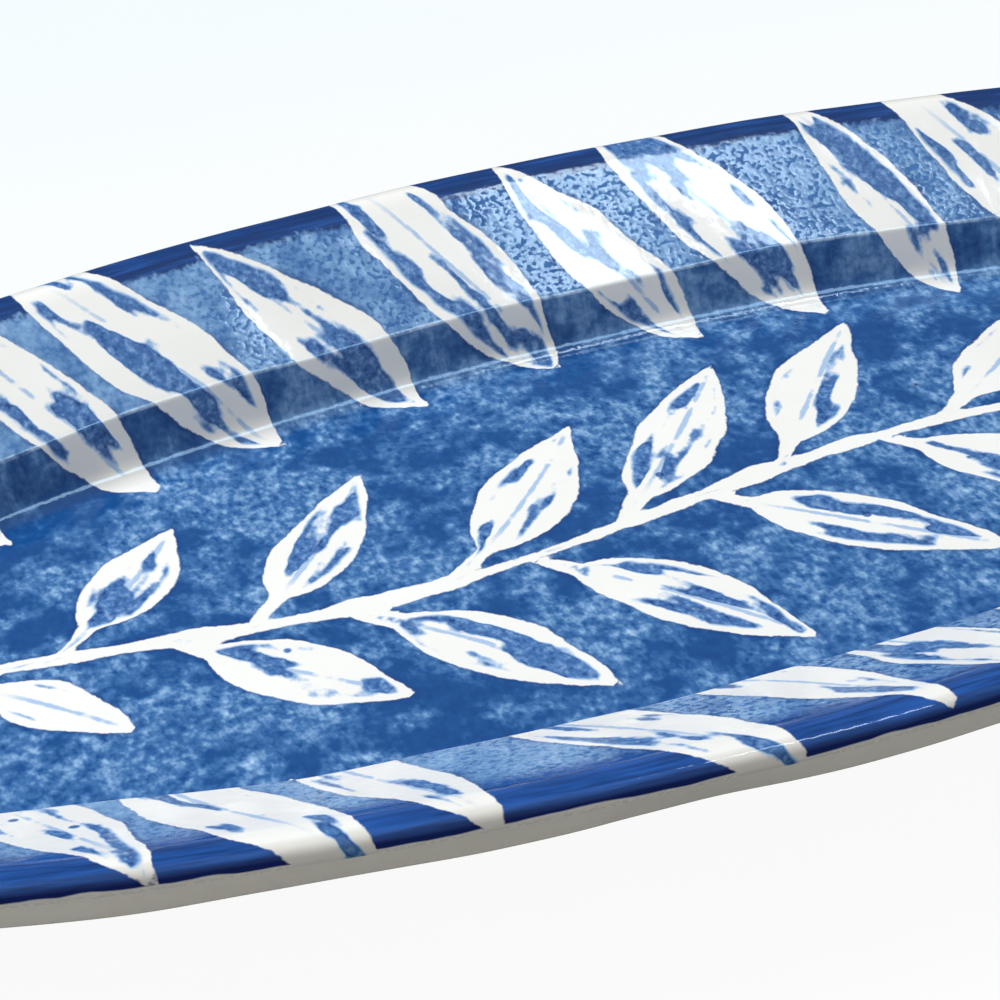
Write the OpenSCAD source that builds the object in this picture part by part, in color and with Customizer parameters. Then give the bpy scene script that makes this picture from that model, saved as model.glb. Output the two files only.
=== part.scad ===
// Long oval serving platter: a pressed clay dish on a foot ring, with its coats of glaze.
// The origin is on the table under the middle of the platter, +X along its length, +Z up.

/* [Outline] */
// Length of the platter over the lip
platter_length = 450; // [410:5:500]
// Width of the platter over the lip
platter_width = 180; // [166:2:196]

/* [Lip] */
// Width of the flat top of the lip
lip_width = 4.6; // [4:0.2:8]
// Height of the lip's outer face
lip_height = 9.2; // [8:0.2:12]
// How far the foot of that face leans in under the lip
lip_lean = 4; // [1:0.2:5]
// Rounding of the lip's outer edge
lip_edge_radius = 1.8; // [1.2:0.2:2.2]
// Rounding where the lip turns down into the rim
lip_roll_radius = 6; // [2:0.5:9]
// Rounding of the lip's lower edge
lip_under_radius = 2.4; // [1.2:0.2:3]

/* [Rim] */
// Plan width of the rim, from the outside of the lip to the crease above the wall
rim_width = 30; // [26:1:34]
// Fall of the rim from the lip to that crease
rim_fall = 12.4; // [9:0.2:14]
// Rounding of the crease
crease_radius = 1.6; // [1:0.2:3]
// Rounding under the rim, outside the crease
knee_radius = 9; // [4:1:12]

/* [Well] */
// Depth of the well below the lip
well_depth = 22.6; // [20:0.2:30]
// Slope of the wall, in degrees from level
wall_slope = 66; // [58:1:76]
// Radius of the round ends of the floor
floor_end_radius = 14; // [11:0.5:20]
// Cove between the wall and the floor
cove_radius = 3.2; // [2:0.2:5]
// Rounding at the outside of the base
heel_radius = 6; // [3:0.5:8]

/* [Clay] */
// Thickness of the pressed slab
slab_thickness = 7.6; // [6:0.2:9]
// Gap from the rounded outside of the base to the foot ring
foot_inset = 1.2; // [0.4:0.2:3]
// Width of the foot ring
foot_width = 6.4; // [5:0.2:8]
// Height of the foot ring
foot_height = 4.6; // [3:0.2:7]
// Rounding of the foot ring's lower edges
foot_edge_radius = 1.8; // [0.6:0.2:2.4]

/* [Glaze] */
// Thickness of the coats of glaze
glaze_thickness = 0.4; // [0.3:0.05:0.6]
// How far the lip band reaches down the rim, past the rounded lip
band_on_rim = 0.8; // [0.4:0.2:6]
// How far the lip band reaches down the outer face, past the rounded edge
band_on_face = 0.8; // [0.4:0.2:2]

/* [Hidden] */

$fn = 240;
// Straight steps in each rounded corner of a section
corner_steps = 6;
// Points along each arc of the flat middle's outline
field_steps = 12;
// Lap of the flat middle with the swept ring around it
field_lap = 2;

// Levels above the table
base_level = foot_height;
floor_level = base_level + slab_thickness + glaze_thickness;
lip_level = floor_level + well_depth;

// Corners of the section at the glazed surface: [distance in from the outside, level, rounding]
face_length = norm([lip_lean, lip_height]);
lip_overhang = lip_edge_radius * ((face_length + lip_lean) / lip_height - 1);
lip_edge = [-lip_overhang, lip_level, lip_edge_radius];
lip_roll = [lip_width, lip_level, lip_roll_radius];
lip_under = [lip_lean - lip_overhang, lip_level - lip_height, lip_under_radius];
crease = [rim_width, lip_level - rim_fall, crease_radius];
cove = [rim_width + (well_depth - rim_fall) / tan(wall_slope), floor_level, cove_radius];

// The outside follows the inside, one slab and two coats of glaze away
inside = [lip_roll, crease, cove, [cove[0] + slab_thickness, floor_level, 0]];
outside = shifted(inside, -slab_thickness - 2 * glaze_thickness);
knee = [outside[1][0], outside[1][1], knee_radius];
heel = [outside[2][0], outside[2][1], heel_radius];

// The foot ring stands just inside the rounded outside of the base
foot_outside = heel[0] + heel_radius * tan(wall_slope / 2) + foot_inset;
foot_inside = foot_outside + foot_width;
field_offset = max(foot_inside, cove[0] + cove_radius) + 2 * field_lap;

// Where the lip band gives way to the other coats, on the rim and on the outer face
rim_slope = atan2(rim_fall, rim_width - lip_width);
band_rim_reach = lip_roll_radius * tan(rim_slope / 2) + band_on_rim;
band_face_reach = lip_edge_radius * (face_length + lip_lean) / lip_height + band_on_face;
band_rim_end = along(lip_roll, crease, band_rim_reach);
band_face_end = along(lip_edge, lip_under, band_face_reach);

// The outline is eight arcs: a round end, a shoulder, a long side and so on, that meet without a kink.
// Their centres are corners of 3-4-5 and 7-24-25 triangles and their sizes are whole microns, so that
// neighbouring arcs end in the same plane without a step
micron = 0.001;
// Lap of neighbouring arcs, so that they join without a slit
joint_lap = 0.001;
end_way = [3, 4];
side_way = [7, 24];
half_width = microns(platter_width / 2);
longer_by = (platter_length - platter_width) / 2;
end_gap = half_width - cove[0] - floor_end_radius;
side_scale = microns((longer_by - excess(end_way) * end_gap) / (excess(side_way) - excess(end_way)));
end_scale = microns(end_gap - side_scale);
end_radius = half_width - side_scale - end_scale;
shoulder_radius = end_radius + norm(end_way) * end_scale;
side_radius = shoulder_radius + norm(side_way) * side_scale;
shoulder_x = side_way[0] * side_scale;
shoulder_y = -end_way[1] * end_scale;
end_x = shoulder_x + end_way[0] * end_scale;
side_y = half_width - side_radius;

// Half of the outline, from one end round to the other: [centre, radius, heading of each end]
half_outline = [
    [[end_x, 0], end_radius, [end_way[0], -end_way[1]], end_way],
    [[shoulder_x, shoulder_y], shoulder_radius, end_way, side_way],
    [[0, side_y], side_radius, side_way, [-side_way[0], side_way[1]]],
    [[-shoulder_x, shoulder_y], shoulder_radius, [-side_way[0], side_way[1]], [-end_way[0], end_way[1]]]
];

// Each coat's path runs with the air on its left, from the foot ring over the lip to the well
back_path = [[foot_outside, heel[1], 0], heel, knee, lip_under, band_face_end];
lip_path = [band_face_end, lip_edge, lip_roll, band_rim_end];
face_path = [band_rim_end, crease, cove, [field_offset, floor_level, 0]];

// Points in a section

function microns(size) = round(size / micron) * micron;
// How much longer the two short sides of a triangle are than its long one
function excess(way) = way[0] + way[1] - norm(way);
function flat(p) = [p[0], p[1]];
function unit(v) = v / norm(v);
function left_of(v) = [-v[1], v[0]];
function turned(v, a) = [v[0] * cos(a) - v[1] * sin(a), v[0] * sin(a) + v[1] * cos(a)];
function reversed(list) = [for (i = [len(list) - 1 : -1 : 0]) list[i]];
function past_first(list) = [for (i = [1 : len(list) - 1]) list[i]];
function heading(path, i) = unit(flat(path[i + 1]) - flat(path[i]));

// A point on the way from one corner to another
function along(from, to, reach) =
    let (p = flat(from) + reach * unit(flat(to) - flat(from)))
    [p[0], p[1], 0];

// Which way a path turns at a corner: 1 to the left, -1 to the right
function bend(path, i) = sign(cross(heading(path, i - 1), heading(path, i)));

// The parallel path, a distance to the left of a path, with its roundings about the same centres
function shifted(path, by) = [
    for (i = [0 : len(path) - 1])
        let (
            first = i == 0,
            last = i == len(path) - 1,
            before = left_of(heading(path, first ? 0 : i - 1)),
            after = left_of(heading(path, last ? i - 1 : i)),
            p = flat(path[i]) + by * (before + after) / (1 + before * after),
            radius = first || last ? 0 : path[i][2] - by * bend(path, i)
        )
        [p[0], p[1], radius]
];

// The rounded corner at one point of a path
function corner(path, i) =
    let (
        before = heading(path, i - 1),
        turn = acos(before * heading(path, i)),
        side = bend(path, i),
        radius = path[i][2],
        start = flat(path[i]) - before * radius * tan(turn / 2),
        spoke = -side * radius * left_of(before),
        centre = start - spoke
    )
    [for (step = [0 : corner_steps]) centre + turned(spoke, side * turn * step / corner_steps)];

// A path with its corners rounded
function rounded(path) = [
    flat(path[0]),
    for (i = [1 : len(path) - 2]) each corner(path, i),
    flat(path[len(path) - 1])
];

// The clay's side of a coat, and the section of the coat itself
function under_glaze(path) = rounded(shifted(path, -glaze_thickness));
function coat(path) = concat(rounded(path), reversed(under_glaze(path)));

// Points along one arc, a distance in from the lip
function arc_points(arc, inset) =
    let (
        from = atan2(arc[2][1], arc[2][0]),
        to = atan2(arc[3][1], arc[3][0])
    )
    [
        for (i = [0 : field_steps - 1])
            let (a = from + (to - from) * i / field_steps)
            arc[0] + (arc[1] - inset) * [cos(a), sin(a)]
    ];

// Points along the whole outline, a distance in from the lip
function outline_points(inset) = [
    for (half = [1, -1])
        for (arc = half_outline)
            for (p = arc_points(arc, inset)) half * p
];

// A section taken round one arc of the outline
module round_arc(section, arc) {
    radius = arc[1];
    middle = unit(arc[2]) + unit(arc[3]);
    reach = ceil(radius);
    translate([arc[0][0], arc[0][1], 0])
        intersection() {
            rotate_extrude(angle = 180, start = atan2(middle[1], middle[0]) - 90)
                polygon([for (p = section) [radius - microns(p[0]), microns(p[1])]]);
            translate([0, 0, -lip_level])
                linear_extrude(3 * lip_level)
                    polygon([-joint_lap * unit(middle), reach * arc[2], reach * arc[3]]);
        }
}

// A section taken right round the outline
module round_outline(section) {
    for (turn = [0, 180])
        rotate([0, 0, turn])
            for (arc = half_outline)
                round_arc(section, arc);
}

// The flat middle inside a swept ring
module field(level, thickness) {
    translate([0, 0, level])
        linear_extrude(thickness)
            polygon(outline_points(field_offset - field_lap));
}

// The pressed clay dish: well, wall, rim and lip
module dish_body() {
    color("#ece5d3") {
        round_outline(concat(
            [[field_offset, base_level]],
            under_glaze(back_path),
            past_first(under_glaze(lip_path)),
            past_first(under_glaze(face_path))
        ));
        field(base_level, slab_thickness);
    }
}

// The coil luted under the well, with its bare standing face
module foot_ring() {
    color("#d9cdb4")
        round_outline(rounded([
            [foot_inside, base_level, 0],
            [foot_inside, 0, foot_edge_radius],
            [foot_outside, 0, foot_edge_radius],
            [foot_outside, base_level, 0]
        ]));
}

// The decorated coat over the rim, the wall and the well
module face_glaze() {
    color("#6f97cc") {
        round_outline(coat(face_path));
        field(floor_level - glaze_thickness, glaze_thickness);
    }
}

// The cobalt coat brushed round the lip
module lip_band() {
    color("#1d4d93")
        round_outline(coat(lip_path));
}

// The white coat on the outside, from the lip band to the foot ring
module back_glaze() {
    color("#f1efe6")
        round_outline(coat(back_path));
}

// The white coat on the panel inside the foot ring
module base_glaze() {
    color("#f1efe6") {
        round_outline([
            [foot_inside, base_level - glaze_thickness],
            [field_offset, base_level - glaze_thickness],
            [field_offset, base_level],
            [foot_inside, base_level]
        ]);
        field(base_level - glaze_thickness, glaze_thickness);
    }
}

dish_body();
foot_ring();
face_glaze();
lip_band();
back_glaze();
base_glaze();
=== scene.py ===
import math
import random

import bpy
import numpy as np
from mathutils import Matrix, Vector


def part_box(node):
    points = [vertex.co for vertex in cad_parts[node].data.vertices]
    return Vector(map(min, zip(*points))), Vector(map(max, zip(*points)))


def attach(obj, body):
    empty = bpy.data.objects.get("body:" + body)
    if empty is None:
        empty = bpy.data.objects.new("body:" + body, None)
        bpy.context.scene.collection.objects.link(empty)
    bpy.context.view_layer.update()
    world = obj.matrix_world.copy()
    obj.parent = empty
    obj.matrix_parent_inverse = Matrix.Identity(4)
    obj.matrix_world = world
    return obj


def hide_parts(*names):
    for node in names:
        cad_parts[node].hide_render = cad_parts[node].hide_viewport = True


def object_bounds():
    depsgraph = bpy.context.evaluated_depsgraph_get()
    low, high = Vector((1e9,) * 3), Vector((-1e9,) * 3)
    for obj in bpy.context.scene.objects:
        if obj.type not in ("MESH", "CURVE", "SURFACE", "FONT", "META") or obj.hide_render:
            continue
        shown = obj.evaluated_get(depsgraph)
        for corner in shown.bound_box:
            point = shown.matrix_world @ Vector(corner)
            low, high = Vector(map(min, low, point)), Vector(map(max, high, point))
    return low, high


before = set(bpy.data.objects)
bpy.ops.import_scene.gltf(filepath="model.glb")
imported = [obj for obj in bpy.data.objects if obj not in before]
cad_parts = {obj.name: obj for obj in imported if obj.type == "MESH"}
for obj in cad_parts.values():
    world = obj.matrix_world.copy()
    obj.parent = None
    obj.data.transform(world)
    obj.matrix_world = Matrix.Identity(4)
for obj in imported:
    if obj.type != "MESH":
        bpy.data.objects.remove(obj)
cad_low, cad_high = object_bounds()


# Pressed dish: one slab of white earthenware, pressed over a mould into a well, a steep wall, a broad
# rim and a rounded lip. Every coat of glaze lies on it and follows its hand-made unevenness, so it
# shows nowhere itself.
MM = 0.001
half_length = cad_high.x / MM
half_width = cad_high.y / MM
lip_level = cad_high.z / MM
base_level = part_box("dish_body")[0].z / MM
glaze = base_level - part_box("base_glaze")[0].z / MM
floor_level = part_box("face_glaze")[0].z / MM + glaze
foot_outside = half_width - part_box("foot_ring")[1].y / MM
foot_inside = half_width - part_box("base_glaze")[1].y / MM

lip_width = 4.6
lip_height = 9.2
lip_lean = 4.0
lip_edge_radius = 1.8
lip_roll_radius = 12.0
lip_under_radius = 2.4
rim_width = 30.0
rim_fall = 12.4
crease_radius = 1.6
knee_radius = 9.0
wall_slope = math.radians(66)
cove_radius = 5.0
heel_radius = 6.0
floor_end_radius = 14.0
slab = floor_level - base_level - glaze
well_depth = lip_level - floor_level

# The section's corners at the glazed surface: distance in from the outside, level, rounding
cove_inset = rim_width + (well_depth - rim_fall) / math.tan(wall_slope)
lip_overhang = lip_edge_radius * ((math.hypot(lip_lean, lip_height) + lip_lean) / lip_height - 1)
rim_slope = math.atan2(rim_fall, rim_width - lip_width)
through = slab + 2 * glaze
knee_inset = rim_width - through * math.tan((wall_slope + rim_slope) / 2 - rim_slope) * math.cos(rim_slope)
knee_inset -= through * math.sin(rim_slope)
knee_level = lip_level - rim_fall - (knee_inset - rim_width) * math.tan(rim_slope)
knee_level -= through / math.cos(rim_slope)
heel_inset = cove_inset - through * math.tan(wall_slope / 2)
heel_level = floor_level - through
lip_edge = (-lip_overhang, lip_level, lip_edge_radius)
lip_roll = (lip_width, lip_level, lip_roll_radius)
lip_under = (lip_lean - lip_overhang, lip_level - lip_height, lip_under_radius)
crease = (rim_width, lip_level - rim_fall, crease_radius)
cove = (cove_inset, floor_level, cove_radius)
knee = (knee_inset, knee_level, knee_radius)
heel = (heel_inset, heel_level, heel_radius)
field_inset = foot_inside + 4.0


def along(start, end, reach):
    """The point at a distance from one corner of a section towards another."""
    way = np.subtract(end[:2], start[:2])
    return (*(np.array(start[:2]) + way * reach / np.hypot(*way)), 0.0)


def rounded(path, spacing):
    """The points of a path with its corners rounded, closer together than a spacing."""
    points = []
    for before, corner, after in zip([path[0], *path], path, [*path[1:], path[-1]]):
        here = np.array(corner[:2])
        if corner[2] == 0:
            points.append(here)
            continue
        way_in = here - before[:2]
        way_out = np.subtract(after[:2], here)
        way_in = way_in / np.hypot(*way_in)
        way_out = way_out / np.hypot(*way_out)
        turn = math.atan2(way_in[0] * way_out[1] - way_in[1] * way_out[0], way_in @ way_out)
        start = here - way_in * corner[2] * math.tan(abs(turn) / 2)
        left = np.array([-way_in[1], way_in[0]]) * math.copysign(corner[2], turn)
        steps = max(6, math.ceil(corner[2] * abs(turn) / spacing))
        for swing in np.linspace(0, turn, steps + 1):
            cos, sin = math.cos(swing), math.sin(swing)
            turned = np.array([cos * left[0] - sin * left[1], sin * left[0] + cos * left[1]])
            points.append(start + left - turned)
    filled = [points[0]]
    for here in points[1:]:
        gap = np.hypot(*(here - filled[-1]))
        if gap > 1e-6:
            filled.extend(np.linspace(filled[-1], here, max(2, math.ceil(gap / spacing) + 1))[1:])
    return np.array(filled)


def sunk(points, depth):
    """The parallel line on the clay's side of a path's points."""
    way = np.gradient(points, axis=0)
    way /= np.hypot(way[:, 0], way[:, 1])[:, None]
    return points + depth * np.stack([way[:, 1], -way[:, 0]], axis=1)


# The outline is eight arcs that meet without a kink, on 3-4-5 and 7-24-25 triangles. Each is kept as its
# first and last heading, its centre and its radius, with the two end arcs in halves
end_gap = half_width - cove_inset - floor_end_radius
side_scale = (half_length - half_width - 2 * end_gap) / 4
end_scale = end_gap - side_scale
end_radius = half_width - end_gap
shoulder_radius = end_radius + 5 * end_scale
side_radius = shoulder_radius + 25 * side_scale
end_x = 7 * side_scale + 3 * end_scale
end_turn = math.atan2(4, 3)
side_turn = math.atan2(24, 7)
arcs = []
for flip in (1, -1):
    shoulder_x = flip * 7 * side_scale
    shoulder_y = flip * -4 * end_scale
    side_y = flip * (half_width - side_radius)
    lead = 0 if flip > 0 else math.pi
    back = lead + math.pi
    arcs.append((lead, lead + end_turn, flip * end_x, 0.0, end_radius))
    arcs.append((lead + end_turn, lead + side_turn, shoulder_x, shoulder_y, shoulder_radius))
    arcs.append((lead + side_turn, back - side_turn, 0.0, side_y, side_radius))
    arcs.append((back - side_turn, back - end_turn, -shoulder_x, shoulder_y, shoulder_radius))
    arcs.append((back - end_turn, back, -flip * end_x, 0.0, end_radius))

# Runs round the oval are counted on the rim, this far in from the outside
even_inset = 22.0
arc_runs = np.cumsum([0] + [(arc[1] - arc[0]) * (arc[4] - even_inset) for arc in arcs])
round_length = arc_runs[-1]


def on_outline(run):
    """The place on the outline, and the outward heading there, at a run round the oval."""
    run = run % round_length
    i = min(int(np.searchsorted(arc_runs, run, side="right")) - 1, len(arcs) - 1)
    start, _, x, y, radius = arcs[i]
    turn = start + (run - arc_runs[i]) / (radius - even_inset)
    out = np.array([math.cos(turn), math.sin(turn)])
    return np.array([x, y]) + radius * out, out


class Value:
    """The value of a socket in a node tree, on which Python's own sums add Math nodes."""

    def __init__(self, graph, socket):
        self.graph = graph
        self.socket = socket

    def sum(self, operation, *terms):
        return self.graph.node("ShaderNodeMath", {"operation": operation}, dict(enumerate(terms)))

    def __add__(self, other):
        return self.sum("ADD", self, other)

    def __sub__(self, other):
        return self.sum("SUBTRACT", self, other)

    def __rsub__(self, other):
        return self.sum("SUBTRACT", other, self)

    def __mul__(self, other):
        return self.sum("MULTIPLY", self, other)

    def __truediv__(self, other):
        return self.sum("DIVIDE", self, other)

    def __neg__(self):
        return self.sum("MULTIPLY", self, -1.0)

    def __abs__(self):
        return self.sum("ABSOLUTE", self)

    def __pow__(self, other):
        return self.sum("POWER", self, other)

    __radd__ = __add__
    __rmul__ = __mul__

    def most(self, other):
        return self.sum("MAXIMUM", self, other)

    def part(self, name):
        return Value(self.graph, self.socket.node.outputs[name])

    def rise(self, low, high):
        """From 0 at one value to 1 at another, without a kink."""
        return self.graph.node(
            "ShaderNodeMapRange",
            {"interpolation_type": "SMOOTHSTEP"},
            {"Value": self, "From Min": low, "From Max": high},
        )


class Graph:
    """A node tree that is written as expressions."""

    def __init__(self, tree):
        self.tree = tree
        tree.nodes.clear()

    def node(self, kind, settings=None, sockets=None, output=0):
        """Adds a node, sets its settings, then gives its sockets their values or links."""
        made = self.tree.nodes.new(kind)
        for name, setting in (settings or {}).items():
            if name == "stops":
                ramp = made.color_ramp.elements
                while len(ramp) < len(setting):
                    ramp.new(1.0)
                for element, (place, colour) in zip(ramp, setting):
                    element.position = place
                    element.color = colour
            else:
                setattr(made, name, setting)
        for name, value in (sockets or {}).items():
            if isinstance(value, Value):
                self.tree.links.new(value.socket, made.inputs[name])
            else:
                made.inputs[name].default_value = value
        return Value(self, made.outputs[output]) if made.outputs else made


# The tree that takes a section round the outline: the floor is drawn in to the middle line, and the
# whole wanders a little inwards and downwards, as a pressed slab does. The foot is level, and the lip
# wanders less than the rim
sweep = bpy.data.node_groups.new("section_round_the_oval", "GeometryNodeTree")
for name, kind in (
    ("Geometry", "NodeSocketGeometry"),
    ("Outline", "NodeSocketObject"),
    ("Section", "NodeSocketObject"),
    ("Stations", "NodeSocketFloat"),
    ("Wander in", "NodeSocketVector"),
    ("Wander down", "NodeSocketFloat"),
    ("Steady below", "NodeSocketFloat"),
    ("Loose above", "NodeSocketFloat"),
    ("Stiff above", "NodeSocketFloat"),
    ("Lip level", "NodeSocketFloat"),
    ("Finish", "NodeSocketMaterial"),
):
    sweep.interface.new_socket(name, in_out="INPUT", socket_type=kind)
sweep.interface.new_socket("Geometry", in_out="OUTPUT", socket_type="NodeSocketGeometry")
drift_span = (0.2, 0.8)
lip_stiffness = 0.75
sweeper = Graph(sweep)
given = sweeper.node("NodeGroupInput")
outline_shape = sweeper.node(
    "GeometryNodeObjectInfo", {"transform_space": "ORIGINAL"}, {"Object": given.part("Outline")}
).part("Geometry")
section_shape = sweeper.node(
    "GeometryNodeObjectInfo", {"transform_space": "ORIGINAL"}, {"Object": given.part("Section")}
).part("Geometry")
upright = sweeper.node("GeometryNodeSetCurveNormal", {"mode": "Z_UP"}, {"Curve": outline_shape})
counted = sweeper.node(
    "GeometryNodeStoreNamedAttribute",
    {"data_type": "FLOAT", "domain": "POINT"},
    {
        "Geometry": upright,
        "Name": "round_at",
        "Value": sweeper.node("GeometryNodeSplineParameter").part("Index") / given.part("Stations"),
    },
)
profile = sweeper.node("GeometryNodeMeshToCurve", None, {"Mesh": section_shape})
skin = sweeper.node("GeometryNodeCurveToMesh", None, {"Curve": counted, "Profile Curve": profile})
drawn_in = sweeper.node("GeometryNodeInputNamedAttribute", {"data_type": "FLOAT"}, {"Name": "drawn_in"})
place = sweeper.node("ShaderNodeSeparateXYZ", None, {"Vector": sweeper.node("GeometryNodeInputPosition")})
flattened = sweeper.node(
    "ShaderNodeCombineXYZ",
    None,
    {"X": place.part("X"), "Y": place.part("Y") * (1 - drawn_in), "Z": place.part("Z")},
)
closed_in = sweeper.node("GeometryNodeSetPosition", None, {"Geometry": skin, "Position": flattened})
place = sweeper.node("ShaderNodeSeparateXYZ", None, {"Vector": sweeper.node("GeometryNodeInputPosition")})
drift = sweeper.node(
    "ShaderNodeTexNoise",
    {"noise_dimensions": "3D"},
    {
        "Vector": sweeper.node("GeometryNodeInputPosition"),
        "Scale": 21.0,
        "Detail": 1.5,
        "Roughness": 0.4,
    },
    output=1,
)
drift = sweeper.node("ShaderNodeSeparateXYZ", None, {"Vector": drift})
loose = place.part("Z").rise(given.part("Steady below"), given.part("Loose above"))
stiff = place.part("Z").rise(given.part("Stiff above"), given.part("Lip level"))
loose = loose * (1 - stiff * lip_stiffness)
wander = sweeper.node("ShaderNodeSeparateXYZ", None, {"Vector": given.part("Wander in")})
moved = sweeper.node(
    "ShaderNodeCombineXYZ",
    None,
    {
        "X": place.part("X") * (1 - drift.part("X").rise(*drift_span) * loose * wander.part("X")),
        "Y": place.part("Y") * (1 - drift.part("Y").rise(*drift_span) * loose * wander.part("Y")),
        "Z": place.part("Z") - drift.part("Z").rise(*drift_span) * loose * given.part("Wander down"),
    },
)
uneven = sweeper.node("GeometryNodeSetPosition", None, {"Geometry": closed_in, "Position": moved})
sealed = sweeper.node("GeometryNodeMergeByDistance", None, {"Geometry": uneven, "Distance": 1e-6})
smooth = sweeper.node("GeometryNodeSetShadeSmooth", None, {"Geometry": sealed})
whole = sweeper.node("GeometryNodeRealizeInstances", None, {"Geometry": smooth})
finished = sweeper.node(
    "GeometryNodeSetMaterial", None, {"Geometry": whole, "Material": given.part("Finish")}
)
sweeper.node("NodeGroupOutput", None, {"Geometry": finished})

stations = 600
outline_curve = bpy.data.curves.new("outline", "CURVE")
outline_curve.dimensions = "3D"
line = outline_curve.splines.new("POLY")
line.points.add(stations - 1)
line.use_cyclic_u = True
for i, point in enumerate(line.points):
    x, y = on_outline(round_length * i / stations)[0]
    point.co = (x * MM, y * MM, 0, 1)
outline = bpy.data.objects.new("outline", outline_curve)
bpy.context.scene.collection.objects.link(outline)


def read(mesh, label):
    """A point attribute of a mesh as an array."""
    values = np.zeros(len(mesh.vertices), np.float32)
    mesh.attributes[label].data.foreach_get("value", values)
    return values.astype(float)


def face_outward(mesh):
    """Turns the faces of a closed mesh outward."""
    corners = np.zeros(len(mesh.vertices) * 3)
    mesh.vertices.foreach_get("co", corners)
    corners = corners.reshape(-1, 3)
    mesh.calc_loop_triangles()
    triangles = np.zeros(len(mesh.loop_triangles) * 3, int)
    mesh.loop_triangles.foreach_get("vertices", triangles)
    a, b, c = (corners[triangles[i::3]] for i in range(3))
    if np.einsum("ij,ij->", a, np.cross(b, c)) < 0:
        mesh.flip_normals()


def lay_skin_map(mesh):
    """Gives a swept mesh its own UV map: the run round the oval and the run along the section. Faces
    across the start of the round count on past its end."""
    around, across = (read(mesh, label) for label in ("round_at", "section_run"))
    loops = np.zeros(len(mesh.loops), int)
    mesh.loops.foreach_get("vertex_index", loops)
    starts = np.zeros(len(mesh.polygons), int)
    mesh.polygons.foreach_get("loop_start", starts)
    face_of = np.cumsum(np.isin(np.arange(len(loops)), starts)) - 1
    u = around[loops]
    highest = np.maximum.reduceat(u, starts)[face_of]
    u = u + ((highest - u) > 0.5)
    layer = mesh.uv_layers.new(name="skin")
    uv = np.stack([u * round_length * MM, across[loops] * MM], axis=1)
    layer.data.foreach_set("uv", uv.astype(np.float32).ravel())


def swept(name, points, runs, finish, closed, inner=()):
    """A piece made by taking a section round the oval. Its first and last points may go on to the
    middle line: inner gives the number of steps there for each of the two ends."""
    insets, levels = np.array(points).T
    drawn = np.zeros(len(insets))
    if inner:
        first, last = (np.linspace(0, 1, steps + 1)[1:] for steps in inner)
        insets = np.concatenate([[insets[0]] * len(first), insets, [insets[-1]] * len(last)])
        levels = np.concatenate([[levels[0]] * len(first), levels, [levels[-1]] * len(last)])
        width = half_width - field_inset
        runs = np.concatenate([runs[0] - width * first[::-1], runs, runs[-1] + width * last])
        drawn = np.concatenate([first[::-1], drawn, last])
    count = len(insets)
    places = np.stack([-insets * MM, -levels * MM, np.zeros(count)], axis=1)
    edges = [(i, (i + 1) % count) for i in range(count if closed else count - 1)]
    section_mesh = bpy.data.meshes.new("section")
    section_mesh.from_pydata(places.tolist(), edges, [])
    for label, values in (("drawn_in", drawn), ("section_run", runs)):
        layer = section_mesh.attributes.new(label, "FLOAT", "POINT")
        layer.data.foreach_set("value", np.array(values, np.float32))
    section = bpy.data.objects.new("section", section_mesh)
    bpy.context.scene.collection.objects.link(section)
    piece = bpy.data.objects.new(name, bpy.data.meshes.new(name))
    bpy.context.scene.collection.objects.link(piece)
    modifier = piece.modifiers.new("sweep", "NODES")
    modifier.node_group = sweep
    values = {
        "Outline": outline,
        "Section": section,
        "Stations": float(stations),
        "Wander in": (0.008, 0.02, 0.0),
        "Wander down": 1.2 * MM,
        "Steady below": 7 * MM,
        "Loose above": 20 * MM,
        "Stiff above": 24 * MM,
        "Lip level": lip_level * MM,
        "Finish": finish,
    }
    for item in sweep.interface.items_tree:
        if item.name in values:
            modifier[item.identifier] = values[item.name]
    depsgraph = bpy.context.evaluated_depsgraph_get()
    made = bpy.data.meshes.new_from_object(
        piece.evaluated_get(depsgraph), preserve_all_data_layers=True, depsgraph=depsgraph
    )
    piece.modifiers.clear()
    bpy.data.objects.remove(section)
    piece.data = made
    made.name = name
    made.materials.clear()
    made.materials.append(finish)
    face_outward(made)
    made.set_sharp_from_angle(angle=math.radians(50))
    lay_skin_map(made)
    return piece


def colour(red, green, blue):
    """A colour as it looks on a screen, from 0 to 255, as the shader's linear one."""
    shares = [c / 255 for c in (red, green, blue)]
    return (*[s / 12.92 if s <= 0.04045 else ((s + 0.055) / 1.055) ** 2.4 for s in shares], 1.0)


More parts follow.
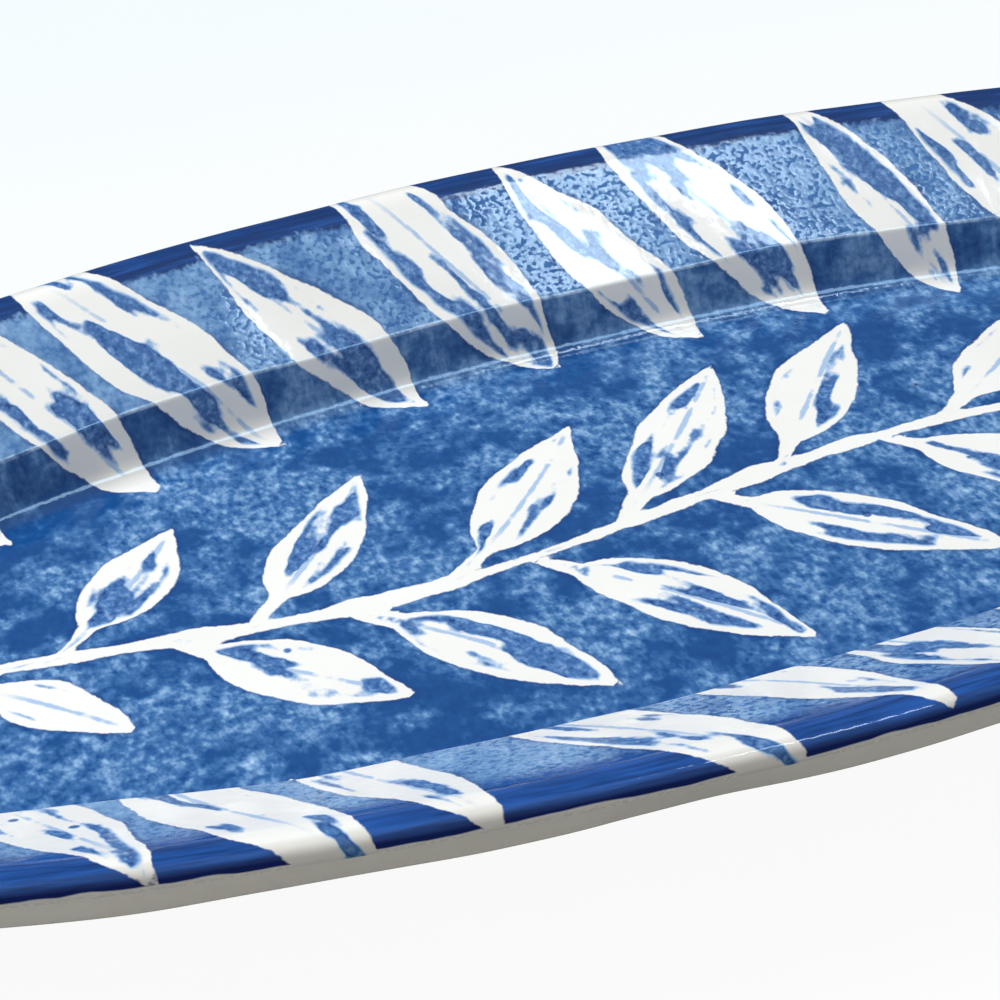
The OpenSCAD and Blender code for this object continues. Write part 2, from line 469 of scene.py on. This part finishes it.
class Finish(Graph):
    """A material on one Principled shader, written as expressions in millimetres."""

    def __init__(self, name, **constants):
        self.material = bpy.data.materials.new(name)
        self.material.use_nodes = True
        super().__init__(self.material.node_tree)
        self.shader = self.tree.nodes.new("ShaderNodeBsdfPrincipled")
        output = self.tree.nodes.new("ShaderNodeOutputMaterial")
        self.tree.links.new(self.shader.outputs[0], output.inputs[0])
        for socket, value in constants.items():
            self.shader.inputs[socket.replace("_", " ")].default_value = value
        position = self.node("ShaderNodeTexCoord").part("Object")
        self.place = self.scaled(position, 1 / MM)

    def scaled(self, vector, *factors):
        factors = factors * 3 if len(factors) == 1 else factors
        return self.node("ShaderNodeVectorMath", {"operation": "MULTIPLY"}, {0: vector, 1: factors})

    def noise(self, grain, detail=2.0, roughness=0.5, vector=None):
        """Noise from 0 to 1 whose grains are about so many millimetres across."""
        return self.node(
            "ShaderNodeTexNoise",
            {"noise_dimensions": "3D"},
            {
                "Vector": vector or self.place,
                "Scale": 1 / grain,
                "Detail": detail,
                "Roughness": roughness,
            },
        )

    def cells(self, pitch):
        """Distances to scattered points that lie about so many millimetres apart, as shares of that."""
        scattered = self.node("ShaderNodeTexVoronoi", None, {"Vector": self.place, "Scale": 1 / pitch})
        return scattered.part("Distance")

    def mix(self, factor, first, second):
        return self.node(
            "ShaderNodeMix", {"data_type": "RGBA"}, {0: factor, 6: first, 7: second}, output=2
        )

    def ramp(self, value, *stops):
        return self.node("ShaderNodeValToRGB", {"stops": stops}, {"Fac": value})

    def relief(self, height):
        """Bumps of a height in millimetres."""
        bump = self.node("ShaderNodeBump", None, {"Height": height, "Distance": MM, "Strength": 1.0})
        self.tree.links.new(bump.socket, self.shader.inputs["Normal"])

    def show(self, **links):
        for socket, value in links.items():
            self.tree.links.new(value.socket, self.shader.inputs[socket.replace("_", " ")])


clay = Finish("fired_white_clay", Roughness=0.8)
clay_tone = clay.noise(9.0, detail=4.0, roughness=0.65)
clay.show(
    Base_Color=clay.ramp(clay_tone, (0.3, colour(222, 212, 190)), (0.7, colour(238, 231, 215))),
)
clay.relief(clay.noise(0.6, detail=3.0) * 0.05)

band_on_rim = 0.3
band_on_face = 0.8
band_rim_end = along(lip_roll, crease, lip_roll_radius * math.tan(rim_slope / 2) + band_on_rim)
band_face_end = along(lip_edge, lip_under, lip_edge_radius + lip_overhang + band_on_face)
field_edge = (field_inset, floor_level, 0.0)
back_path = [(foot_outside, heel_level, 0.0), heel, knee, lip_under, band_face_end]
lip_path = [band_face_end, lip_edge, lip_roll, band_rim_end]
face_path = [band_rim_end, crease, cove, field_edge]
whole_path = [*back_path[:-1], *lip_path[1:-1], *face_path[1:]]


def runs_along(points):
    """Distances along a path's points."""
    return np.concatenate([[0], np.cumsum(np.hypot(*np.diff(points, axis=0).T))])


under_glaze = sunk(rounded(whole_path, 2.5), glaze)
dish_points = np.concatenate([[[field_inset, base_level]], under_glaze])
pressed_dish = swept(
    "pressed_dish", dish_points, runs_along(dish_points), clay.material, closed=False, inner=(12, 12)
)
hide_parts("dish_body")
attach(pressed_dish, "root")


# Foot ring: a coil of the same clay, luted under the well and trimmed flat. Its standing face is wiped
# bare of glaze before the firing and has rubbed grey on shelves and tables.
foot_edge_radius = 1.8
foot_path = [
    (foot_inside, base_level, 0.0),
    (foot_inside, 0.0, foot_edge_radius),
    (foot_outside, 0.0, foot_edge_radius),
    (foot_outside, base_level, 0.0),
]
bare = Finish("bare_foot_clay", Roughness=0.85)
height = bare.node("ShaderNodeSeparateXYZ", None, {"Vector": bare.place}).part("Z")
grit = bare.noise(1.1, detail=4.0, roughness=0.7)
stain = bare.noise(14.0, detail=3.0, roughness=0.6)
rubbed = (1 - height.rise(0.1, 1.0)) * (stain * 0.6 + grit * 0.4).rise(0.42, 0.6)
clay_colour = bare.ramp(
    stain * 0.6 + grit * 0.4, (0.35, colour(203, 188, 158)), (0.65, colour(226, 216, 194))
)
bare.show(
    Base_Color=bare.mix(rubbed * 0.55, clay_colour, colour(138, 132, 122)),
    Roughness=0.9 - rubbed * 0.25,
)
bare.relief(grit * 0.12 + bare.noise(0.35, detail=2.0) * 0.05)
foot_points = rounded(foot_path, 1.2)
foot_coil = swept("foot_coil", foot_points, runs_along(foot_points), bare.material, closed=True)
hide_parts("foot_ring")
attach(foot_coil, "root")


# Decorated coat: the glaze over the rim, the wall and the well. Cobalt is dabbed on with a sponge round
# leaves that are masked out of it, so that they stay white, and the glossy glaze runs over both.
coat_top = rounded(face_path, 1.3)
coat_under = sunk(rounded(face_path, 4.0), glaze)

# Runs along the section are counted from the outer edge of the lip's top
lip_top = rounded(lip_path, 0.5)
lip_start = np.argmin(np.hypot(*(lip_top - [0.6, lip_level]).T))
lip_runs = runs_along(lip_top) - runs_along(lip_top)[lip_start]
face_points = np.concatenate([coat_under[::-1], coat_top])
face_runs = np.concatenate([runs_along(coat_under)[::-1], runs_along(coat_top)]) + lip_runs[-1]


def leaf_edges(s, t, length, width, stalk, stalk_end):
    """How far points lie outside a leaf, given their places along it from its base and across it. The
    stalk narrows from its root in the blade to the half width at its end."""
    stalk_root = 4.0
    root_half_width = 2.2
    q = np.clip(s / length, 0.0, 1.0)
    swell = width / 2 * np.sin(np.pi * q**0.8) ** 0.9
    beside = np.abs(t) - swell
    beyond = np.maximum(np.maximum(beside, np.maximum(-s, s - length)), 0)
    blade = np.where((s > 0) & (s < length), beside * 0.92, np.hypot(beyond, t * 0.5))
    reach = np.clip(s, -stalk, stalk_root)
    half_width_here = stalk_end + (root_half_width - stalk_end) * (reach + stalk) / (stalk + stalk_root)
    return np.minimum(blade, np.hypot(s - reach, t) - half_width_here)


def leaf_design(places, around, across):
    """For points of the surface: how far outside the nearest leaf they are, their place along and
    across it, and its number."""
    draw = random.Random(7)
    nearest = np.full(len(places), 1e3)
    leaf_place = np.zeros((len(places), 3))

    def lay(chosen, edge, s, t, number):
        closer = edge < nearest[chosen]
        chosen = chosen[closer]
        nearest[chosen] = edge[closer]
        leaf_place[chosen] = np.stack([s[closer], t[closer], np.full(closer.sum(), number)], axis=1)

    # Border: leaves that lean across the rim, long and short by turns, and smaller round the tight ends
    border_count = 32
    border_shift = 14.0
    border_window = 62.0
    end_zone = 26.0
    for k in range(border_count):
        run = round_length * (k + 0.5 + draw.uniform(-0.08, 0.08)) / border_count
        spot, out = on_outline(run)
        ahead = np.array([-out[1], out[0]])
        tight = math.exp(-(((half_length - abs(spot[0])) / end_zone) ** 2))
        foot = 48 - 12 * tight
        length = draw.uniform(71, 78) - 20 * tight
        width = draw.uniform(17, 20)
        if k % 2:
            length = draw.uniform(55, 62) - 14 * tight
            width = draw.uniform(14, 16.5)
        lean = math.radians(draw.uniform(24, 34) - 16 * tight)
        bow = draw.uniform(-1.6, 1.6)
        gap = (around * round_length - run + round_length / 2) % round_length - round_length / 2
        chosen = np.nonzero((np.abs(gap) < border_window) & (across < foot + 30))[0]
        side = (places[chosen] - spot) @ ahead + border_shift * (1 - tight)
        rise = foot - across[chosen]
        s = rise * math.cos(lean) + side * math.sin(lean)
        t = side * math.cos(lean) - rise * math.sin(lean)
        t = t - bow * (1 - (2 * s / length - 1) ** 2)
        lay(chosen, leaf_edges(s, t, length, width, 0.0, 0.9), s, t, k)

    # Branch: a bent stem along the well with leaves on both sides, smaller towards its ends
    floor_from = 46.0
    branch_reach = 150.0
    branch_bend = 5.0
    branch_wave = 31.0
    branch_fade = 195.0
    branch_stalk = 7.0
    pair_pitch = 33.0
    last_leaf = branch_reach + 10
    stem_end = branch_reach + 12
    on_floor = np.nonzero(across > floor_from)[0]
    floor_places = places[on_floor]

    def stem_y(x):
        return branch_bend * np.sin(x / branch_wave)

    pairs = int(2 * branch_reach / pair_pitch)
    number = 100
    for k in range(pairs + 1):
        for side in (1, -1):
            x = -branch_reach + pair_pitch * (k + (0.25 if side > 0 else 0.75)) + draw.uniform(-2, 2)
            if x > last_leaf:
                continue
            room = 1 - (x / branch_fade) ** 2
            angle = side * math.radians(draw.uniform(38, 50))
            length = draw.uniform(42, 48) * room
            width = draw.uniform(14.5, 17.5) * math.sqrt(room)
            root = np.array([x, stem_y(x)])
            way = np.array([math.cos(angle), math.sin(angle)])
            start = root + way * branch_stalk
            off = floor_places - start
            s = off @ way
            t = off @ np.array([-way[1], way[0]])
            t = t - draw.uniform(-1.5, 1.5) * (1 - (2 * s / length - 1) ** 2)
            lay(on_floor, leaf_edges(s, t, length, width, branch_stalk, 1.1), s, t, number)
            number += 1
    x, y = floor_places.T
    thick = 1.5 + 0.3 * np.sin(x / 17)
    stem = np.abs(y - stem_y(x)) * 0.95 - thick
    stem = np.maximum(stem, np.abs(x) - stem_end)
    lay(on_floor, stem, x, np.full(len(x), 30.0), 99)
    return nearest, leaf_place


def mark_leaves(piece):
    """Gives a coat's points their places in the leaf design."""
    mesh = piece.data
    corners = np.zeros(len(mesh.vertices) * 3)
    mesh.vertices.foreach_get("co", corners)
    places = corners.reshape(-1, 3)[:, :2] / MM
    edge, spots = leaf_design(places, read(mesh, "round_at"), read(mesh, "section_run"))
    layer = mesh.attributes.new("leaf_edge", "FLOAT", "POINT")
    layer.data.foreach_set("value", edge.astype(np.float32))
    layer = mesh.attributes.new("leaf_place", "FLOAT_VECTOR", "POINT")
    layer.data.foreach_set("vector", spots.astype(np.float32).ravel())


face_top_runs = runs_along(coat_top) + lip_runs[-1]
crease_run, cove_run = (
    face_top_runs[np.argmin(np.hypot(*(coat_top - corner[:2]).T))] for corner in (crease, cove)
)

sponged = Finish("sponged_cobalt_glaze", IOR=1.5, Specular_IOR_Level=0.4)
spot_place = sponged.node("ShaderNodeSeparateXYZ", None, {"Vector": sponged.place})
skin_place = sponged.node("ShaderNodeUVMap", {"uv_map": "skin"})
skin_mm = sponged.scaled(skin_place, 1 / MM)
run = sponged.node("ShaderNodeSeparateXYZ", None, {"Vector": skin_mm}).part("Y")
on_rim = 1 - run.rise(crease_run - 0.5, crease_run + 0.5)
on_slope = 1 - run.rise(cove_run - 0.5, cove_run + 0.5)
on_wall = on_slope - on_rim

# The sponged ground: smooth where the sponge was wet and mottled with pale flecks where it was dry. On the
# rim it is a lighter wash with dark pits, fainter to the left, and on the wall it has pooled
patch = sponged.noise(19.0, detail=2.0, roughness=0.55)
dab = sponged.noise(7.0, detail=2.5, roughness=0.6)
grain = sponged.noise(
    1.2, detail=1.8, roughness=0.55, vector=sponged.scaled(sponged.place, 1.0, 0.7, 1.0)
)
flecks = sponged.noise(2.6, detail=2.0, roughness=0.55)
dots = sponged.noise(0.95, detail=0.5)
pits = 1 - dots.rise(0.36, 0.48)
trickles = sponged.noise(1.6, detail=2.0, vector=sponged.scaled(skin_mm, 1.0, 0.14, 1.0))
dry = (patch * 0.45 + dab * 0.55).rise(0.40, 0.57)
tone = 0.14 + dry * 0.16 + (grain * 0.95 + flecks * 0.75 - 0.635) * 1.15 * (0.25 + dry * 0.75)
heavier = spot_place.part("X").rise(20, 120) * spot_place.part("Y").rise(-20, 40)
washed = 0.59 + dry * 0.12 + (grain - 0.5) * 0.4 + (dab - 0.5) * 0.3 + (trickles - 0.5) * 0.2
pitted = spot_place.part("X").rise(-95, -25)
washed = washed - pits * (0.09 + pitted * 0.16 - heavier * 0.1) - heavier * 0.14
pooled = 0.28 + dry * 0.34 + (grain - 0.5) * 0.5 + (trickles - 0.5) * 0.4
tone = tone * (1 - on_slope) + washed * on_rim + pooled * on_wall
ground = sponged.ramp(
    tone,
    (0.0, colour(2, 57, 120)),
    (0.25, colour(22, 79, 142)),
    (0.5, colour(64, 114, 170)),
    (0.75, colour(122, 163, 207)),
    (1.0, colour(176, 207, 236)),
)

# Leaf edges: cut by hand, with a dark line of colour beside them where the sponge was wet
leaf_edge = sponged.node("ShaderNodeAttribute", {"attribute_name": "leaf_edge"}).part("Fac")
leaf_place = sponged.node("ShaderNodeAttribute", {"attribute_name": "leaf_place"}).part("Vector")
leaf = sponged.node("ShaderNodeSeparateXYZ", None, {"Vector": leaf_place})
ragged = leaf_edge + (sponged.noise(13.0, detail=1.0) - 0.5) * 3.4 + (grain - 0.5) * 0.7
masked = 1 - ragged.rise(-0.15, 0.2)
outlined = (1 - ragged.rise(0.1, 1.3)) * (1 - dry * 0.8)
ground = sponged.mix(outlined * 0.65, ground, colour(20, 64, 128))

# The band: brushed along the lip, soft on its inner edge, broader and with painted light on the near side,
# and navy where it turns over the outer one: partly thicker paint, partly painted shade of that face
brush = sponged.noise(1.0, detail=3.0, roughness=0.6, vector=sponged.scaled(skin_mm, 0.06, 0.8, 1.0))
ends = sponged.noise(7.0, detail=2.0, roughness=0.5)
# Near side: the band is broader there, and its colour is lifted as painted light
near_wider_painted_lighter = 1 - spot_place.part("Y").rise(-70, 40)
fringe = run + (ends - 0.5) * 2.0 + (grain - 0.5) * 3.6
edge_below = run + (patch - 0.5) * 2.4 + (ends - 0.5) * 0.8
bare_face = 1 - edge_below.rise(-2.3, -1.9)
banded = (1 - fringe.rise(5.8 + near_wider_painted_lighter * 0.6, 7.4 + near_wider_painted_lighter * 5.0)) * (1 - bare_face)
band_colour = sponged.ramp(
    brush + near_wider_painted_lighter * 0.16,
    (0.3, colour(0, 42, 98)),
    (0.52, colour(6, 56, 118)),
    (0.78, colour(30, 86, 166)),
)
# Darker navy on the outer face of the lip: partly thicker paint, partly painted shade
band_colour = sponged.mix(1 - run.rise(-1.7, -0.1), band_colour, colour(0, 14, 92))

# Inside the leaves: a faint rib, and smears of sponged colour that run lengthwise, more in some leaves
number = leaf.part("Z").sum("ROUND", leaf.part("Z"))
chance = sponged.node("ShaderNodeTexWhiteNoise", {"noise_dimensions": "1D"}, {"W": number})
off_rib = abs(leaf.part("Y"))
grain_of_leaf = sponged.node(
    "ShaderNodeCombineXYZ",
    None,
    {"X": leaf.part("X") * 0.055, "Y": leaf.part("Y") * 0.2, "Z": number * 3.7},
)
streak = sponged.noise(1.0, detail=1.4, roughness=0.5, vector=grain_of_leaf)
inside = (-leaf_edge + (dab - 0.5) * 2.4).rise(0.9, 2.0)
smudge = streak + chance * 0.1 + (dab - 0.5) * 0.2 + (grain - 0.5) * 0.07
smear = smudge.rise(0.55, 0.63) * inside
smear_rim = smear * (1 - smudge.rise(0.6, 0.68))
rib_width = 0.05 + (dab - 0.3) * 0.8
rib = (1 - (off_rib + (grain - 0.5) * 0.6).rise(rib_width, rib_width + 0.5)) * inside
rib = rib * leaf.part("X").rise(1, 9) * (1 - leaf.part("X").rise(38, 58)) * dab.rise(0.36, 0.46)
spot = (1 - sponged.cells(9.0).rise(0.07, 0.12)) * inside
inked = (rib * 0.45).most(smear * 0.95).most(spot * 0.8)
ink = sponged.ramp(
    0.5 + (grain - 0.5) * 1.1 - pits * 0.15 - smear_rim * 0.12 - spot * 0.3,
    (0.1, colour(22, 68, 132)),
    (0.5, colour(74, 120, 178)),
    (0.9, colour(150, 184, 222)),
)

# The white of the leaves and below the band, a little greyer on the outer edge of the lip
white = sponged.mix(patch, colour(240, 239, 233), colour(249, 249, 245))
white = sponged.mix(1 - run.rise(0.8, 2.2), white, colour(228, 226, 219))
leaf_colour = sponged.mix(inked.rise(0.0, 0.55), white, colour(164, 194, 228))
leaf_colour = sponged.mix(inked.rise(0.4, 0.95), leaf_colour, ink)

# Colour is thin and pale on the crease, partly a painted highlight along it, and a few specks of iron have
# burnt through the glaze
thin = 1 - abs(run - crease_run + (ends - 0.5) * 0.6).rise(0.2, 0.6)
pale_crease_and_painted_highlight = thin * (grain + dab - 0.7).rise(-0.1, 0.6) * 0.8
# A pale line on the crease: glaze breaking thin over the edge, and partly a painted highlight
ground = sponged.mix(pale_crease_and_painted_highlight, ground, colour(190, 212, 235))
painted = sponged.mix(banded, ground, band_colour)
painted = sponged.mix(bare_face, painted, white)
painted = sponged.mix(masked, painted, leaf_colour)
iron = 1 - sponged.cells(26.0).rise(0.010, 0.020)
painted = sponged.mix(iron * 0.8, painted, colour(58, 44, 36))
open_ground = (1 - masked) * (1 - banded)
sponged.show(
    Base_Color=painted,
    Roughness=0.06 + dab * 0.05 + (dry * 0.06 + pits * on_rim * 0.5) * open_ground,
)
peel = sponged.noise(2.6, detail=1.0)
rough = run.rise(6.0, 9.0) * leaf_edge.rise(-2.0, 1.0)
pores = (grain * 0.02 + dots * 0.04) * rough
lip_waves = ends * 0.2 * (1 - run.rise(2.0, 6.0))
sponged.relief(peel * 0.04 + pores + lip_waves)

decorated_coat = swept(
    "decorated_coat", face_points, face_runs, sponged.material, closed=False, inner=(8, 38)
)
mark_leaves(decorated_coat)
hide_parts("face_glaze")
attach(decorated_coat, "root")


# Lip band: cobalt brushed round the top of the lip and just over its outer edge, so the colour lies in
# streaks along it. The leaves' tips cross it and break it up.
lip_under_points = sunk(rounded(lip_path, 1.2), glaze)
lip_points = np.concatenate([lip_under_points[::-1], lip_top])
lip_band_runs = np.concatenate([np.linspace(lip_runs[-1], lip_runs[0], len(lip_under_points)), lip_runs])
lip_coat = swept("cobalt_lip_coat", lip_points, lip_band_runs, sponged.material, closed=True)
mark_leaves(lip_coat)
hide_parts("lip_band")
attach(lip_coat, "root")


# White coats: plain glaze on the outside, from the lip band down to the foot ring, and on the panel
# inside the ring. It is slightly clouded and mottled, with a few iron specks.
plain = Finish("white_glaze", IOR=1.5)
cloud = plain.noise(30.0, detail=3.0, roughness=0.55)
mottle = plain.noise(3.0, detail=3.0, roughness=0.6)
white_tone = plain.ramp(
    cloud * 0.7 + mottle * 0.3, (0.3, colour(236, 233, 222)), (0.7, colour(248, 246, 238))
)
specks = 1 - plain.cells(22.0).rise(0.011, 0.022)
plain.show(
    Base_Color=plain.mix(specks * 0.75, white_tone, colour(70, 56, 46)),
    Roughness=0.1 + mottle * 0.08,
)
plain.relief(plain.noise(2.6, detail=2.0) * 0.06 + cloud * 0.2)
back_top = rounded(back_path, 1.6)
back_points = np.concatenate([sunk(rounded(back_path, 4.0), glaze)[::-1], back_top])
back_coat = swept("white_back_coat", back_points, runs_along(back_points), plain.material, closed=True)
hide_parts("back_glaze")
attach(back_coat, "root")

base_points = np.array(
    [
        [field_inset, base_level],
        [foot_inside, base_level],
        [foot_inside, base_level - glaze],
        [field_inset, base_level - glaze],
    ]
)
base_coat = swept(
    "white_base_coat", base_points, runs_along(base_points), plain.material, closed=False, inner=(4, 24)
)
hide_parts("base_glaze")
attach(base_coat, "root")
bpy.data.objects.remove(outline)


# Studio: a pale table under soft daylight from behind on the left, with soft light all round. Two more
# lamps give only the glare in the glaze. The table is near white to the camera, and a quiet grey or blue
# in its bounced light and in reflections.
floor_mesh = bpy.data.meshes.new("table")
floor_half = 6.0
floor_mesh.from_pydata(
    [
        (-floor_half, -floor_half, 0),
        (floor_half, -floor_half, 0),
        (floor_half, floor_half, 0),
        (-floor_half, floor_half, 0),
    ],
    [],
    [(0, 1, 2, 3)],
)
floor = bpy.data.objects.new("table", floor_mesh)
bpy.context.scene.collection.objects.link(floor)
table_top = Finish("pale_table", Roughness=0.9)
paths = table_top.node("ShaderNodeLightPath")
seen = paths.part("Is Camera Ray")
cloth = table_top.ramp(
    table_top.noise(60.0), (0.3, colour(232, 236, 238)), (0.7, colour(238, 242, 244))
)
unseen = table_top.mix(paths.part("Is Glossy Ray"), colour(182, 180, 175), colour(88, 118, 156))
table_top.show(Base_Color=table_top.mix(seen, unseen, cloth))
away = table_top.node("ShaderNodeSeparateXYZ", None, {"Vector": table_top.place}).part("Y")
glow = table_top.node(
    "ShaderNodeEmission",
    None,
    {"Color": table_top.mix(away.rise(0, 400), colour(255, 255, 255), colour(240, 251, 254))},
)
blend = table_top.node("ShaderNodeMixShader", None, {0: seen * 0.94, 2: glow})
table_top.tree.links.new(table_top.shader.outputs[0], blend.socket.node.inputs[1])
table_top.tree.links.new(blend.socket, table_top.tree.nodes["Material Output"].inputs[0])
floor_mesh.materials.append(table_top.material)

world = bpy.data.worlds.new("studio")
world.use_nodes = True
bpy.context.scene.world = world
sky = Graph(world.node_tree)
sky_way = sky.node("ShaderNodeTexCoord").part("Generated")
sky_way = sky.node("ShaderNodeSeparateXYZ", None, {"Vector": sky_way})
overhead = sky_way.part("Z").most(0.0) ** 4
in_front = (-sky_way.part("Y")).most(0.0)
bounced = 1 - sky.node("ShaderNodeLightPath").part("Is Glossy Ray")
sky_colour = sky.node(
    "ShaderNodeMix",
    {"data_type": "RGBA"},
    {0: in_front * bounced, 6: colour(247, 251, 255), 7: colour(255, 249, 240)},
    output=2,
)
sky_glow = sky.node(
    "ShaderNodeBackground",
    None,
    {"Color": sky_colour, "Strength": 0.2 + 0.6 * overhead + 0.16 * in_front},
)
sky.node("ShaderNodeOutputWorld", None, {"Surface": sky_glow})


def hang_lamp(name, spot, aim, size, energy, tint, lights, shines):
    """A rectangular lamp that hangs at a spot and points at an aim, in millimetres. It may only light
    the surfaces or only shine back from them."""
    light = bpy.data.lights.new(name, "AREA")
    light.shape = "RECTANGLE"
    light.size, light.size_y = (side * MM for side in size)
    light.energy = energy
    light.color = tint[:3]
    hung = bpy.data.objects.new(name, light)
    bpy.context.scene.collection.objects.link(hung)
    hung.location = Vector(spot) * MM
    hung.rotation_mode = "QUATERNION"
    hung.rotation_quaternion = (Vector(aim) - Vector(spot)).to_track_quat("-Z", "Y")
    hung.visible_diffuse = lights
    hung.visible_glossy = shines
    return hung


daylight = colour(250, 252, 255)
strip_glare = colour(188, 228, 255)
window_glare = colour(206, 228, 244)
hang_lamp("soft_key", (-420, 520, 1100), (-30, 0, 20), (900, 700), 15.0, daylight, True, False)
hang_lamp("window", (345, 172, 900), (10, 70, 30), (260, 56), 0.9, window_glare, False, True)
strip = hang_lamp("strip", (60, -330, 900), (-20, 40, 20), (1300, 240), 10.0, strip_glare, False, True)
well_side = bpy.data.collections.new("well_side")
well_side.objects.link(decorated_coat)
strip.light_linking.receiver_collection = well_side

camera_data = bpy.data.cameras.new("camera")
camera_data.sensor_width = 36.0
camera_data.lens = 93.6
camera_data.clip_start = 0.01
camera = bpy.data.objects.new("camera", camera_data)
bpy.context.scene.collection.objects.link(camera)
camera_turn = math.radians(-21.168)
camera_rise = math.radians(34.551)
camera_roll = math.radians(-1.970)
camera_distance = 407.557
camera_target = Vector((-38.757, -16.927, lip_level))
backward = Vector((
    math.sin(camera_turn) * math.cos(camera_rise),
    -math.cos(camera_turn) * math.cos(camera_rise),
    math.sin(camera_rise),
))
rightward = Vector((math.cos(camera_turn), math.sin(camera_turn), 0))
upward = backward.cross(rightward)
roll_cos, roll_sin = math.cos(camera_roll), math.sin(camera_roll)
axes = (
    roll_cos * rightward + roll_sin * upward,
    roll_cos * upward - roll_sin * rightward,
    backward,
)
stand = Matrix.Translation((camera_target + backward * camera_distance) * MM)
facing = Matrix(axes).transposed().to_4x4()
camera.matrix_world = stand @ facing
bpy.context.scene.camera = camera
bpy.context.scene.view_settings.view_transform = "Standard"
